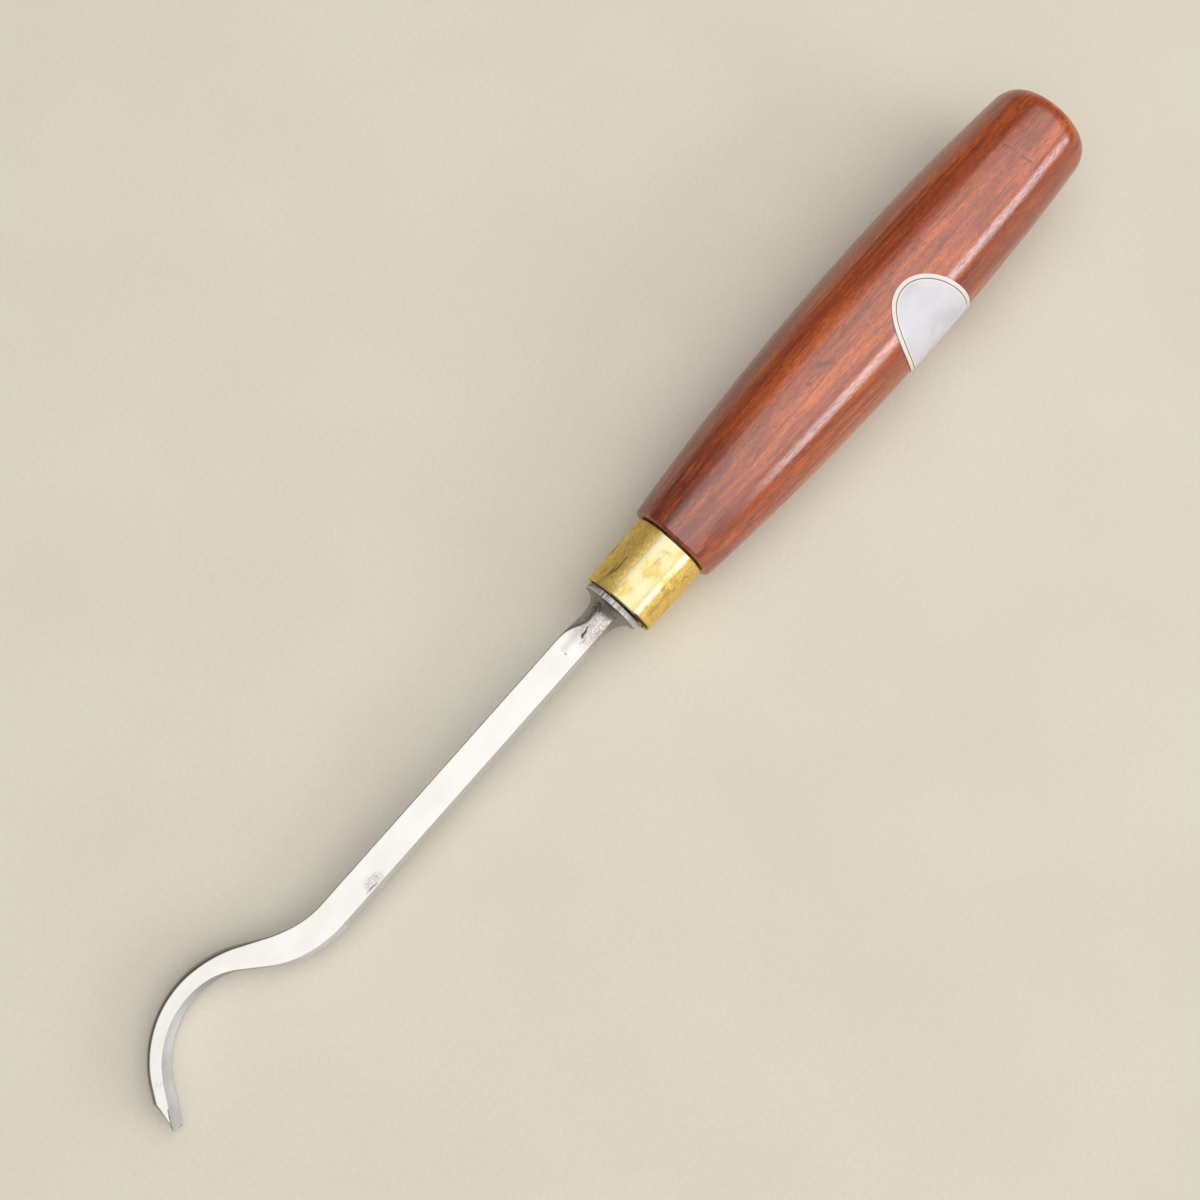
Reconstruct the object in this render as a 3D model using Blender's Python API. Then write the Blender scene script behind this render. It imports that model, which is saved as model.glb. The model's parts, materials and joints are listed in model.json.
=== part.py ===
"""Spoon gouge: a hand carving tool with a crooked spoon blade, a brass ferrule and a turned handle.

The pieces are modelled in the tool's own frame: +X runs along the handle towards the butt, +Y to the
side that the spoon bulges to, and X = 0 is the shoulder where the handle meets the ferrule. An empty
then lays the whole tool on its side on the plane Z = 0, the way it comes to rest under its own weight.
All sizes are in metres.
"""
import math

import bmesh
import bpy
import numpy as np
from mathutils import Matrix, Vector

# Handle, turned from one piece of hardwood
HANDLE_LENGTH = 0.1160
HANDLE_SHOULDER_DIAMETER = 0.0186
HANDLE_BELLY_DIAMETER = 0.0255
HANDLE_BUTT_DIAMETER = 0.0209
HANDLE_BELLY_START = 0.0622
HANDLE_BELLY_END = 0.0672
HANDLE_FRONT_SWELL = 2.0
SHOULDER_ROUNDING = 0.0009
BUTT_ROUNDING_LENGTH = 0.0040
BUTT_ROUNDING_DEPTH = 0.0023
BUTT_ROUNDING_TURN = math.radians(84.0)
BUTT_DOME = 0.0012

# Ferrule, a slightly tapered tube driven over the handle's tenon
FERRULE_LENGTH = 0.0155
FERRULE_FRONT_DIAMETER = 0.0155
FERRULE_REAR_DIAMETER = 0.0158
FERRULE_WALL = 0.0011
FERRULE_ROUNDING = 0.0003

# Clearances between pieces that touch on the real tool
SEAT_GAP = 0.0003
FIT_GAP = 0.0003
LABEL_GAP = 0.00015

# Bolster, forged in one with the blade
BOLSTER_OFFSET = 0.0007
COLLAR_DIAMETER = 0.0124
COLLAR_THICKNESS = 0.0012
COLLAR_ROUNDING = 0.0003
FLARE_LENGTH = 0.0063
FLARE_START_DIAMETER = 0.0050

# Tang, hidden in the handle
TANG_LENGTH = 0.050
TANG_ROOT_WIDTH = 0.0055
TANG_TIP_WIDTH = 0.0022

# Shank and crook
BLADE_OFFSET = 0.00105
SHANK_LENGTH = 0.0799
SHANK_THICKNESS = 0.0058
SHANK_DEPTH = 0.0054
SHANK_CHAMFER = 0.0002
NECK_LENGTH = 0.0137
NECK_THICKNESS = 0.0053
NECK_CHAMFER = 0.00125
CROOK_RADIUS = 0.022
CROOK_ANGLE = math.radians(37.0)
LINK_LENGTH = 0.0057
THINNING_LEAD = 0.0085

# Spoon
SPOON_RADIUS = 0.0188
SPOON_ANGLE = math.radians(94.7)
SPOON_END_LENGTH = 0.0077
SPOON_ROOT_LENGTH = 0.0093
SPOON_WIDTH = 0.0064
SPOON_ROOT_THICKNESS = 0.0033
SPOON_END_THICKNESS = 0.0023
SPOON_CHAMFER = 0.00012
BACK_CROWN = 0.0009
FLUTE_DEPTH = 0.0008
FLUTE_RUN_IN = 0.007
BEVEL_LENGTH = 0.0047
NOSE_ROUND = 0.0008
EDGE_THICKNESS = 0.00015

# Label, an oval stuck round one side of the handle
LABEL_LENGTH = 0.0181
LABEL_WIDTH = 0.0295
LABEL_THICKNESS = 0.00015
LABEL_CENTRE = 0.0659
LABEL_ANGLE = math.radians(75.0)
LABEL_TILT = math.radians(-5.4)
LABEL_ROUNDNESS = 2.1

# Densities, in kilograms per cubic metre, which settle how the tool lies
STEEL_DENSITY = 7850.0
BRASS_DENSITY = 8500.0
WOOD_DENSITY = 850.0
LARGEST_TILT = math.radians(18.0)

# How finely round shapes are divided
SHARP_ANGLE = math.radians(30.0)
MERGE_DISTANCE = 1e-7
TURNED_STEPS = 64
SHOULDER_STEPS = 3
FRONT_STEPS = 12
REAR_STEPS = 8
BUTT_STEPS = 8
DOME_STEPS = 4
FLARE_STEPS = 9
CROOK_STEPS = 10
SPOON_STEPS = 18
BEVEL_STEPS = 4
ACROSS_POINTS = 7
LABEL_SPOKES = 40
LABEL_RINGS = 5

# Places along the tool's axis, worked out from the sizes
TENON_FRONT = -(FERRULE_LENGTH + SEAT_GAP)
COLLAR_BACK = TENON_FRONT - SEAT_GAP
FERRULE_BORE_RADIUS = FERRULE_FRONT_DIAMETER / 2 - FERRULE_WALL
TENON_RADIUS = FERRULE_BORE_RADIUS - FIT_GAP

# Places along the blade's centre line, measured from the back of the collar towards the cutting edge
CROOK_LENGTH = CROOK_RADIUS * CROOK_ANGLE
SPOON_ARC_LENGTH = SPOON_RADIUS * SPOON_ANGLE
NECK_START = COLLAR_THICKNESS + FLARE_LENGTH / 2
THINNING_START = SHANK_LENGTH + THINNING_LEAD
SPOON_START = SHANK_LENGTH + CROOK_LENGTH + LINK_LENGTH
SPOON_ROOT = SPOON_START + SPOON_ROOT_LENGTH
SPOON_ARC_END = SPOON_START + SPOON_ARC_LENGTH
BLADE_END = SPOON_ARC_END + SPOON_END_LENGTH
BEVEL_START = BLADE_END - BEVEL_LENGTH


def clear_scene():
    for obj in list(bpy.data.objects):
        bpy.data.objects.remove(obj, do_unlink=True)


def make_material(name, colour, roughness, metallic):
    material = bpy.data.materials.new(name)
    material.use_nodes = True
    shader = material.node_tree.nodes["Principled BSDF"]
    shader.inputs["Base Color"].default_value = (*colour, 1.0)
    shader.inputs["Roughness"].default_value = roughness
    shader.inputs["Metallic"].default_value = metallic
    return material


def add_object(name, bm, material, parent):
    bmesh.ops.recalc_face_normals(bm, faces=bm.faces)
    mesh = bpy.data.meshes.new(name)
    bm.to_mesh(mesh)
    bm.free()
    mesh.shade_smooth()
    mesh.set_sharp_from_angle(angle=SHARP_ANGLE)
    if material:
        mesh.materials.append(material)
    obj = bpy.data.objects.new(name, mesh)
    bpy.context.scene.collection.objects.link(obj)
    obj.parent = parent
    return obj


def shape_with(obj, name, bm, operation):
    """Join a helper shape to obj, or cut it away, with a Boolean modifier."""
    helper = add_object(name, bm, None, obj.parent)
    helper.hide_render = True
    helper.display_type = "WIRE"
    modifier = obj.modifiers.new(name, "BOOLEAN")
    modifier.operation = operation
    modifier.solver = "EXACT"
    modifier.object = helper
    return helper


def clamp(value):
    return min(max(value, 0.0), 1.0)


def ease(start, end, value):
    """Smooth step from 0 at start to 1 at end."""
    share = clamp((value - start) / (end - start))
    return share * share * (3.0 - 2.0 * share)


def mix(first, second, share):
    return first + (second - first) * share


def arc_points(centre, radii, start, end, steps):
    """Points on an elliptical arc in the (x, radius) plane, angles in degrees."""
    angles = [math.radians(mix(start, end, i / steps)) for i in range(steps + 1)]
    return [
        (centre[0] + radii[0] * math.cos(angle), centre[1] + radii[1] * math.sin(angle))
        for angle in angles
    ]


def turned(profile, closed):
    """Spin an (x, radius) profile about the X axis. A closed profile gives a tube."""
    bm = bmesh.new()
    verts = [bm.verts.new((x, 0.0, -radius)) for x, radius in profile]
    ends = zip(verts, verts[1:] + verts[:1]) if closed else zip(verts, verts[1:])
    edges = [bm.edges.new(pair) for pair in ends]
    bmesh.ops.spin(
        bm,
        geom=verts + edges,
        cent=(0.0, 0.0, 0.0),
        axis=(1.0, 0.0, 0.0),
        angle=math.tau,
        steps=TURNED_STEPS,
        use_merge=True,
    )
    bmesh.ops.remove_doubles(bm, verts=bm.verts, dist=MERGE_DISTANCE)
    return bm


def lofted(rings):
    """Skin a row of rings whose first half runs opposite the second, and cap both ends."""
    bm = bmesh.new()
    loops = [[bm.verts.new(point) for point in ring] for ring in rings]
    count = len(loops[0])
    for first, second in zip(loops, loops[1:]):
        for i in range(count):
            j = (i + 1) % count
            bm.faces.new((first[i], first[j], second[j], second[i]))
    for loop in (loops[0], loops[-1]):
        for i in range(count // 2 - 1):
            bm.faces.new((loop[i], loop[i + 1], loop[count - 2 - i], loop[count - 1 - i]))
    return bm


def handle_radius(x):
    """Radius of the turned handle at x, before the butt is rounded."""
    belly = HANDLE_BELLY_DIAMETER / 2
    if x < HANDLE_BELLY_START:
        share = (HANDLE_BELLY_START - x) / HANDLE_BELLY_START
        return belly - (belly - HANDLE_SHOULDER_DIAMETER / 2) * share**HANDLE_FRONT_SWELL
    share = max(x - HANDLE_BELLY_END, 0.0) / (HANDLE_LENGTH - HANDLE_BELLY_END)
    return belly - (belly - HANDLE_BUTT_DIAMETER / 2) * share**2


def handle_profile():
    front = handle_radius(SHOULDER_ROUNDING)
    profile = [(TENON_FRONT, 0.0), (TENON_FRONT, TENON_RADIUS), (0.0, TENON_RADIUS)]
    profile += arc_points(
        (SHOULDER_ROUNDING, front - SHOULDER_ROUNDING),
        (SHOULDER_ROUNDING, SHOULDER_ROUNDING),
        180,
        90,
        SHOULDER_STEPS,
    )
    for i in range(1, FRONT_STEPS + 1):
        x = mix(SHOULDER_ROUNDING, HANDLE_BELLY_START, i / FRONT_STEPS)
        profile.append((x, handle_radius(x)))
    # The butt draws in along a quarter ellipse, then rises in a shallow dome
    rounding_start = HANDLE_LENGTH - BUTT_DOME - BUTT_ROUNDING_LENGTH
    for i in range(REAR_STEPS):
        x = mix(HANDLE_BELLY_END, rounding_start, i / REAR_STEPS)
        profile.append((x, handle_radius(x)))
    for i in range(BUTT_STEPS + 1):
        angle = BUTT_ROUNDING_TURN * i / BUTT_STEPS
        x = rounding_start + BUTT_ROUNDING_LENGTH * math.sin(angle)
        profile.append((x, handle_radius(x) - BUTT_ROUNDING_DEPTH * (1 - math.cos(angle))))
    dome_x, dome_radius = profile[-1]
    for i in range(1, DOME_STEPS + 1):
        radius = dome_radius * (1 - i / DOME_STEPS)
        profile.append((mix(HANDLE_LENGTH, dome_x, (radius / dome_radius) ** 2), radius))
    return profile


def blade_path(s):
    """Place and outward normal, in the XY plane, at distance s along the blade's centre line."""
    bends = (
        (SHANK_LENGTH, 0.0),
        (CROOK_LENGTH, CROOK_ANGLE),
        (LINK_LENGTH, 0.0),
        (SPOON_ARC_LENGTH, -SPOON_ANGLE),
        (SPOON_END_LENGTH, 0.0),
    )
    place = Vector((0.0, 0.0))
    heading = 0.0
    left = s
    for i, (length, turn) in enumerate(bends):
        run = left if i == len(bends) - 1 else min(left, length)
        swing = turn * run / length
        # The chord of an arc lies half way between its two headings
        chord = run * math.sin(swing / 2) / (swing / 2) if swing else run
        place += chord * Vector((-math.cos(heading + swing / 2), math.sin(heading + swing / 2)))
        heading += swing
        left -= run
        if left <= 0.0:
            break
    normal = Vector((math.sin(heading), math.cos(heading)))
    return place, normal


def neck_share(s):
    """How far the neck has opened out into the full shank at s, from 0 to 1."""
    return clamp((s - NECK_START) / (NECK_LENGTH - NECK_START))


def blade_thickness(s):
    if s < 0.0:
        return mix(TANG_ROOT_WIDTH, TANG_TIP_WIDTH, -s / TANG_LENGTH)
    if s < NECK_LENGTH:
        return mix(NECK_THICKNESS, SHANK_THICKNESS, neck_share(s))
    if s < SPOON_ROOT:
        return mix(SHANK_THICKNESS, SPOON_ROOT_THICKNESS, ease(THINNING_START, SPOON_ROOT, s))
    share = (s - SPOON_ROOT) / (BLADE_END - SPOON_ROOT)
    return mix(SPOON_ROOT_THICKNESS, SPOON_END_THICKNESS, share)


def blade_width(s):
    if s < 0.0:
        return mix(TANG_ROOT_WIDTH, TANG_TIP_WIDTH, -s / TANG_LENGTH)
    return mix(SHANK_DEPTH, SPOON_WIDTH, clamp((s - SHANK_LENGTH) / (BLADE_END - SHANK_LENGTH)))


def blade_chamfer(s):
    if s < 0.0:
        return SHANK_CHAMFER * blade_width(s) / TANG_ROOT_WIDTH
    if s < NECK_LENGTH:
        return mix(NECK_CHAMFER, SHANK_CHAMFER, neck_share(s))
    return mix(SHANK_CHAMFER, SPOON_CHAMFER, ease(THINNING_START, SPOON_ROOT, s))


def blade_section(s):
    """Ring round the blade at s: up the outer side, then down the inner side."""
    half_width = blade_width(s) / 2
    half = blade_thickness(s) / 2
    chamfer = blade_chamfer(s)
    crown = BACK_CROWN * ease(THINNING_START, SPOON_ROOT, s)
    flute = FLUTE_DEPTH * ease(SPOON_ROOT, SPOON_ROOT + FLUTE_RUN_IN, s)
    bevel = clamp((s - BEVEL_START) / BEVEL_LENGTH)
    flat = half_width - chamfer
    shares = [2 * i / (ACROSS_POINTS - 1) - 1 for i in range(ACROSS_POINTS)]
    heights = [-half_width] + [flat * share for share in shares] + [half_width]
    outer_side = []
    inner_side = []
    for i, z in enumerate(heights):
        bulge = 1 - (z / flat) ** 2
        if i in (0, len(heights) - 1):
            outer = half - chamfer
            inner = -outer
        else:
            outer = half + crown * bulge
            inner = -half + flute * bulge
        outer = mix(outer, inner + EDGE_THICKNESS, bevel)
        place, normal = blade_path(s + NOSE_ROUND * bevel * (1 - (z / half_width) ** 2))
        outer_side.append((*(place + outer * normal), z))
        inner_side.append((*(place + inner * normal), z))
    return outer_side + inner_side[::-1]


def blade_stations():
    """Distances along the blade at which it has a ring."""
    spans = (
        (-TANG_LENGTH, 0.0, 1),
        (0.0, NECK_START, 1),
        (NECK_START, NECK_LENGTH, 1),
        (NECK_LENGTH, SHANK_LENGTH, 1),
        (SHANK_LENGTH, SPOON_START, CROOK_STEPS),
        (SPOON_START, SPOON_ARC_END, SPOON_STEPS),
        (SPOON_ARC_END, BEVEL_START, 1),
        (BEVEL_START, BLADE_END, BEVEL_STEPS),
    )
    stations = [-TANG_LENGTH]
    for start, end, steps in spans:
        stations += [mix(start, end, (i + 1) / steps) for i in range(steps)]
    return stations


def bolster_profile():
    """Collar with a rounded rim, and the hollow flare that runs down into the neck."""
    rim = COLLAR_DIAMETER / 2
    flare_start = FLARE_START_DIAMETER / 2
    front = -COLLAR_THICKNESS
    flare = arc_points(
        (front - FLARE_LENGTH, rim - COLLAR_ROUNDING),
        (FLARE_LENGTH, rim - COLLAR_ROUNDING - flare_start),
        0,
        -90,
        FLARE_STEPS,
    )
    profile = [(0.0, 0.0), (0.0, rim - COLLAR_ROUNDING)]
    profile += arc_points(
        (-COLLAR_ROUNDING, rim - COLLAR_ROUNDING), (COLLAR_ROUNDING, COLLAR_ROUNDING), 45, 90, 1
    )
    profile += arc_points(
        (front + COLLAR_ROUNDING, rim - COLLAR_ROUNDING), (COLLAR_ROUNDING, COLLAR_ROUNDING), 90, 135, 1
    )
    return profile + flare + [(front - FLARE_LENGTH, 0.0)]


def make_blade(parent):
    steel = make_material("ground_steel", (0.60, 0.60, 0.59), 0.32, 1.0)
    rings = [blade_section(s) for s in blade_stations()]
    blade = add_object("blade", lofted(rings), steel, parent)
    blade.location = (COLLAR_BACK, BLADE_OFFSET, 0.0)
    bolster = turned(bolster_profile(), closed=False)
    form = shape_with(blade, "bolster_form", bolster, "UNION")
    form.location = (COLLAR_BACK, BOLSTER_OFFSET, 0.0)
    return blade


def make_ferrule(parent):
    brass = make_material("brass", (0.68, 0.51, 0.17), 0.28, 1.0)
    front = FERRULE_FRONT_DIAMETER / 2
    rear = FERRULE_REAR_DIAMETER / 2
    soft = FERRULE_ROUNDING
    profile = [
        (soft, front),
        (FERRULE_LENGTH - soft, rear),
        (FERRULE_LENGTH, rear - soft),
        (FERRULE_LENGTH, FERRULE_BORE_RADIUS),
        (0.0, FERRULE_BORE_RADIUS),
        (0.0, front - soft),
    ]
    ferrule = add_object("ferrule", turned(profile, closed=True), brass, parent)
    ferrule.location = (TENON_FRONT, 0.0, 0.0)
    return ferrule


def tang_hole():
    """Tapered square hole that the tang fills, open at the front of the tenon."""
    depth = TANG_LENGTH + SEAT_GAP
    taper = (TANG_ROOT_WIDTH - TANG_TIP_WIDTH) / TANG_LENGTH
    rings = []
    for reach in (0.0, depth):
        half = (TANG_ROOT_WIDTH - taper * min(reach, TANG_LENGTH)) / 2 + FIT_GAP
        x = COLLAR_BACK + reach
        rings.append([(x, y, z) for y, z in ((half, -half), (half, half), (-half, half), (-half, -half))])
    return lofted(rings)


def make_handle(parent):
    wood = make_material("varnished_hardwood", (0.33, 0.065, 0.028), 0.30, 0.0)
    handle = add_object("handle", turned(handle_profile(), closed=False), wood, parent)
    hole = shape_with(handle, "tang_hole_form", tang_hole(), "DIFFERENCE")
    hole.location = (0.0, BLADE_OFFSET, 0.0)
    return handle


def make_label(parent):
    """Thin oval wrapped on the handle, a little askew, built over its middle and then turned to its side."""
    foil = make_material("label_foil", (0.72, 0.71, 0.74), 0.35, 0.0)
    wrap_radius = handle_radius(LABEL_CENTRE) + LABEL_GAP

    def place(share, turn, lift):
        power = 2 / LABEL_ROUNDNESS
        short = share * LABEL_LENGTH / 2 * math.copysign(abs(math.cos(turn)) ** power, math.cos(turn))
        long = share * LABEL_WIDTH / 2 * math.copysign(abs(math.sin(turn)) ** power, math.sin(turn))
        along = short * math.cos(LABEL_TILT) - long * math.sin(LABEL_TILT)
        angle = (short * math.sin(LABEL_TILT) + long * math.cos(LABEL_TILT)) / wrap_radius
        radius = handle_radius(LABEL_CENTRE + along) + LABEL_GAP + lift
        return (along, -radius * math.sin(angle), radius * math.cos(angle))

    bm = bmesh.new()
    skins = []
    for lift in (0.0, LABEL_THICKNESS):
        middle = bm.verts.new(place(0.0, 0.0, lift))
        loops = []
        for ring in range(1, LABEL_RINGS + 1):
            turns = [math.tau * i / LABEL_SPOKES for i in range(LABEL_SPOKES)]
            loops.append([bm.verts.new(place(ring / LABEL_RINGS, turn, lift)) for turn in turns])
        for i in range(LABEL_SPOKES):
            j = (i + 1) % LABEL_SPOKES
            bm.faces.new((middle, loops[0][i], loops[0][j]))
            for near, far in zip(loops, loops[1:]):
                bm.faces.new((near[i], far[i], far[j], near[j]))
        skins.append(loops[-1])
    for i in range(LABEL_SPOKES):
        j = (i + 1) % LABEL_SPOKES
        bm.faces.new((skins[0][i], skins[0][j], skins[1][j], skins[1][i]))
    label = add_object("label", bm, foil, parent)
    label.location = (LABEL_CENTRE, 0.0, 0.0)
    label.rotation_euler = (LABEL_ANGLE, 0.0, 0.0)
    return label


def world_triangles(obj):
    """Corners of an object's finished triangles, as an array of shape (count, 3, 3)."""
    finished = obj.evaluated_get(bpy.context.evaluated_depsgraph_get())
    mesh = finished.to_mesh()
    mesh.calc_loop_triangles()
    corners = np.array([finished.matrix_world @ vertex.co for vertex in mesh.vertices])
    triangles = np.array([triangle.vertices for triangle in mesh.loop_triangles])
    finished.to_mesh_clear()
    return corners[triangles]


def centre_of_mass(weighted):
    """Common centre of mass of (triangles, density) pairs, from their signed tetrahedra."""
    total = 0.0
    moment = np.zeros(3)
    for triangles, density in weighted:
        volumes = np.einsum("ij,ij->i", triangles[:, 0], np.cross(triangles[:, 1], triangles[:, 2])) / 6
        total += density * volumes.sum()
        moment += density * (volumes[:, None] * triangles.sum(axis=1) / 4).sum(axis=0)
    return Vector(moment / total)


def resting_up(points, balance):
    """Direction that points up when the tool lies on its side: of the planes that its lower hull can
    lie on, the one that the centre of mass is nearest to."""
    bm = bmesh.new()
    for point in points:
        bm.verts.new(point)
    bmesh.ops.convex_hull(bm, input=bm.verts)
    bm.normal_update()
    lower = [face for face in bm.faces if face.normal.z < -math.cos(LARGEST_TILT)]
    floor = min(lower, key=lambda face: face.normal.dot(face.verts[0].co - balance))
    up = -floor.normal
    bm.free()
    return up


def lay_down(frame, weighted_pieces):
    """Turn the frame so that the tool rests on Z = 0, with its box centred over the origin."""
    bpy.context.view_layer.update()
    solids = [(world_triangles(piece), density) for piece, density in weighted_pieces]
    points = np.unique(np.concatenate([triangles.reshape(-1, 3) for triangles, _ in solids]), axis=0)
    up = resting_up(points, centre_of_mass(solids))
    forward = Vector((1.0, 0.0, 0.0))
    forward = (forward - forward.dot(up) * up).normalized()
    turn = Matrix((forward, up.cross(forward), up))
    laid = points @ np.array(turn).T
    low = laid.min(axis=0)
    high = laid.max(axis=0)
    frame.rotation_euler = turn.to_euler()
    frame.location = (-(low[0] + high[0]) / 2, -(low[1] + high[1]) / 2, -low[2])
    bpy.context.view_layer.update()


def main():
    clear_scene()
    frame = bpy.data.objects.new("resting_frame", None)
    bpy.context.scene.collection.objects.link(frame)
    blade = make_blade(frame)
    ferrule = make_ferrule(frame)
    handle = make_handle(frame)
    make_label(frame)
    lay_down(frame, ((blade, STEEL_DENSITY), (ferrule, BRASS_DENSITY), (handle, WOOD_DENSITY)))


main()
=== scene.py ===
"""Spoon gouge: the looks of the tool, with its light and its camera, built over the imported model.

The pieces are shaped in the tool's own frame: +X runs along the handle towards the butt, +Y to the side
that the spoon bulges to, and X = 0 is the shoulder where the handle meets the ferrule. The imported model
says where that frame lies. Angles round the tool start at its top and turn towards -Y. All sizes are in
metres.
"""
import json
import math

import bmesh
import bpy
from mathutils import Matrix, Vector, noise


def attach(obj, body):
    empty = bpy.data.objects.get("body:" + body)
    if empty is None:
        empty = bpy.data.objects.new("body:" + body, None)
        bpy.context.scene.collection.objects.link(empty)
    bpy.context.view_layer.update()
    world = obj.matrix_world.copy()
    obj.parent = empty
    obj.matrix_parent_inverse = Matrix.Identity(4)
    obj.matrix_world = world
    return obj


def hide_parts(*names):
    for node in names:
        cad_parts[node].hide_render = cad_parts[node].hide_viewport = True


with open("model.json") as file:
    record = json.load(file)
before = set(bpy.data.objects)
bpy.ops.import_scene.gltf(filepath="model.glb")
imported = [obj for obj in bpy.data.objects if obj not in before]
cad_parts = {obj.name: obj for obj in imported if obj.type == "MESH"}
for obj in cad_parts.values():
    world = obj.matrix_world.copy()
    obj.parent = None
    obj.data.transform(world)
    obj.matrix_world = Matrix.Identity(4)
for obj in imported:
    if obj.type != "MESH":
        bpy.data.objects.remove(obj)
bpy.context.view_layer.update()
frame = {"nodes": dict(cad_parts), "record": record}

MM = 0.001

# Handle
HANDLE_LENGTH = 0.1160
HANDLE_SHOULDER_DIAMETER = 0.0186
HANDLE_BELLY_DIAMETER = 0.0255
HANDLE_BUTT_DIAMETER = 0.0209
HANDLE_BELLY_START = 0.0622
HANDLE_BELLY_END = 0.0672
SHOULDER_ROUNDING = 0.0009
BUTT_ROUNDING_LENGTH = 0.0040
BUTT_ROUNDING_DEPTH = 0.0023
BUTT_ROUNDING_TURN = math.radians(84.0)
BUTT_DOME = 0.0012
HANDLE_WEAR = 0.00006
HANDLE_WEAR_LENGTH = 0.016

# Ferrule
FERRULE_LENGTH = 0.0155
FERRULE_FRONT_DIAMETER = 0.0155
FERRULE_REAR_DIAMETER = 0.0158
FERRULE_WALL = 0.0011
FERRULE_ROUNDING = 0.0003
FERRULE_DENTS = 0.000012
FERRULE_DENT_LENGTH = 0.003

# Seats between the pieces
SEAT_GAP = 0.0003
FIT_GAP = 0.0003
TENON_FRONT = -(FERRULE_LENGTH + SEAT_GAP)
COLLAR_BACK = TENON_FRONT - SEAT_GAP
FERRULE_BORE_RADIUS = FERRULE_FRONT_DIAMETER / 2 - FERRULE_WALL
TENON_RADIUS = FERRULE_BORE_RADIUS - FIT_GAP

# Bolster and tang
BOLSTER_OFFSET = 0.0007
COLLAR_DIAMETER = 0.0124
COLLAR_THICKNESS = 0.0012
COLLAR_ROUNDING = 0.0001
FLARE_LENGTH = 0.0063
FLARE_START_DIAMETER = 0.0050
FLARE_BLEND = 0.0008
TANG_LENGTH = 0.050
TANG_ROOT_WIDTH = 0.0055
TANG_TIP_WIDTH = 0.0022

# Shank and crook
BLADE_OFFSET = 0.00105
SHANK_LENGTH = 0.0799
SHANK_THICKNESS = 0.0058
SHANK_DEPTH = 0.0054
SHANK_CORNER = 0.0002
NECK_START = 0.0056
NECK_LENGTH = 0.0137
NECK_OUTER_CORNER = 0.0024
NECK_INNER_CORNER = 0.0018
NECK_ROUNDNESS = 0.25
CROOK_RADIUS = 0.022
CROOK_ANGLE = math.radians(37.0)
LINK_LENGTH = 0.0057
THINNING_LEAD = 0.0085

# Spoon
SPOON_RADIUS = 0.0188
SPOON_ANGLE = math.radians(94.7)
SPOON_END_LENGTH = 0.0077
SPOON_ROOT_LENGTH = 0.0093
SPOON_WIDTH = 0.0064
SPOON_ROOT_THICKNESS = 0.0033
SPOON_END_THICKNESS = 0.0023
SPOON_CORNER = 0.00012
SPOON_OUTER_CORNER = 0.0005
BACK_CROWN = 0.0009
FLUTE_DEPTH = 0.0008
FLUTE_RUN_IN = 0.007
BEVEL_LENGTH = 0.0047
NOSE_ROUND = 0.0008
EDGE_THICKNESS = 0.00005
STEEL_WAVES = 0.000008
STEEL_WAVE_LENGTH = 0.007

# Places along the blade's centre line, from the back of the collar to the cutting edge
CROOK_LENGTH = CROOK_RADIUS * CROOK_ANGLE
SPOON_ARC_LENGTH = SPOON_RADIUS * SPOON_ANGLE
THINNING_START = SHANK_LENGTH + THINNING_LEAD
SPOON_START = SHANK_LENGTH + CROOK_LENGTH + LINK_LENGTH
SPOON_ROOT = SPOON_START + SPOON_ROOT_LENGTH
SPOON_ARC_END = SPOON_START + SPOON_ARC_LENGTH
BLADE_END = SPOON_ARC_END + SPOON_END_LENGTH
BEVEL_START = BLADE_END - BEVEL_LENGTH

# Label
LABEL_LENGTH = 0.0181
LABEL_WIDTH = 0.0295
LABEL_THICKNESS = 0.00012
LABEL_LIFT = 0.00006
LABEL_CENTRE = 0.0659
LABEL_ANGLE = math.radians(75.0)
LABEL_TILT = math.radians(-5.4)
LABEL_ROUNDNESS = 2.1
LABEL_BORDER = 0.00078
LABEL_LINE = 0.00026
LABEL_BLUR = 0.00006

# How finely the pieces are divided
SHARP_ANGLE = math.radians(22.0)
ROUNDING_STEP = math.radians(9.0)
TURNED_STEPS = 180
ROW_LENGTH = 0.0003
BLADE_STEP = 0.00025
CORNER_STEPS = 6
SIDE_STEPS = 16
TOP_STEPS = 24
LABEL_SPOKES = 96
LABEL_RINGS = 18

# Marks of use, and a few strokes of painted shade. A stroke fades out between two shares of its half width
DEGREE_LENGTH = math.radians(1.0) * FERRULE_FRONT_DIAMETER / 2
NICK_DEPTH = 0.00008
PIT_DEPTH = 0.00008
STROKE_FADE = (0.4, 1.5)

# Finish of the steel: distances from the collar, degrees, how far a face turns to a side, and shares
FILED_END = (0.5 * NECK_LENGTH, 0.9 * NECK_LENGTH)
FLARE_END = COLLAR_THICKNESS + FLARE_LENGTH
RIM_MARKS_START = (-42.0, -26.0)
RIM_MARKS_FADE = (20.0, 44.0)
RIM_MARKS_LOSS = 0.7
# Painted shade on the steel: the outer side turned to +Y, the flare and the hollow behind the spoon
OUTER_FACING = (0.10, 0.45)
OUTER_STEEL_SHADE_NECK = 0.45
OUTER_STEEL_SHADE_SHANK = 0.85
TOP_FACING = (0.85, 0.97)
FLARE_SHADE = 0.65
HOLLOW_FACING = (0.2, 0.5)
HOLLOW_DARKENS = (0.092, 0.098)
HOLLOW_CLEARS = (0.105, 0.113)
HOLLOW_SHADE = 0.6
SATIN_FACING = (0.3, 0.6)
RIM_SATIN = 0.5
SIDE_SATIN = 0.4
SIDE_SATIN_START = (0.5 * NECK_LENGTH, NECK_LENGTH)

# Degrees between which the ferrule's top carries a painted highlight, in paler and smoother brass
HIGHLIGHT_BAND_START = (-22.0, -6.0)
HIGHLIGHT_BAND_END = (42.0, 46.0)
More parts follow.
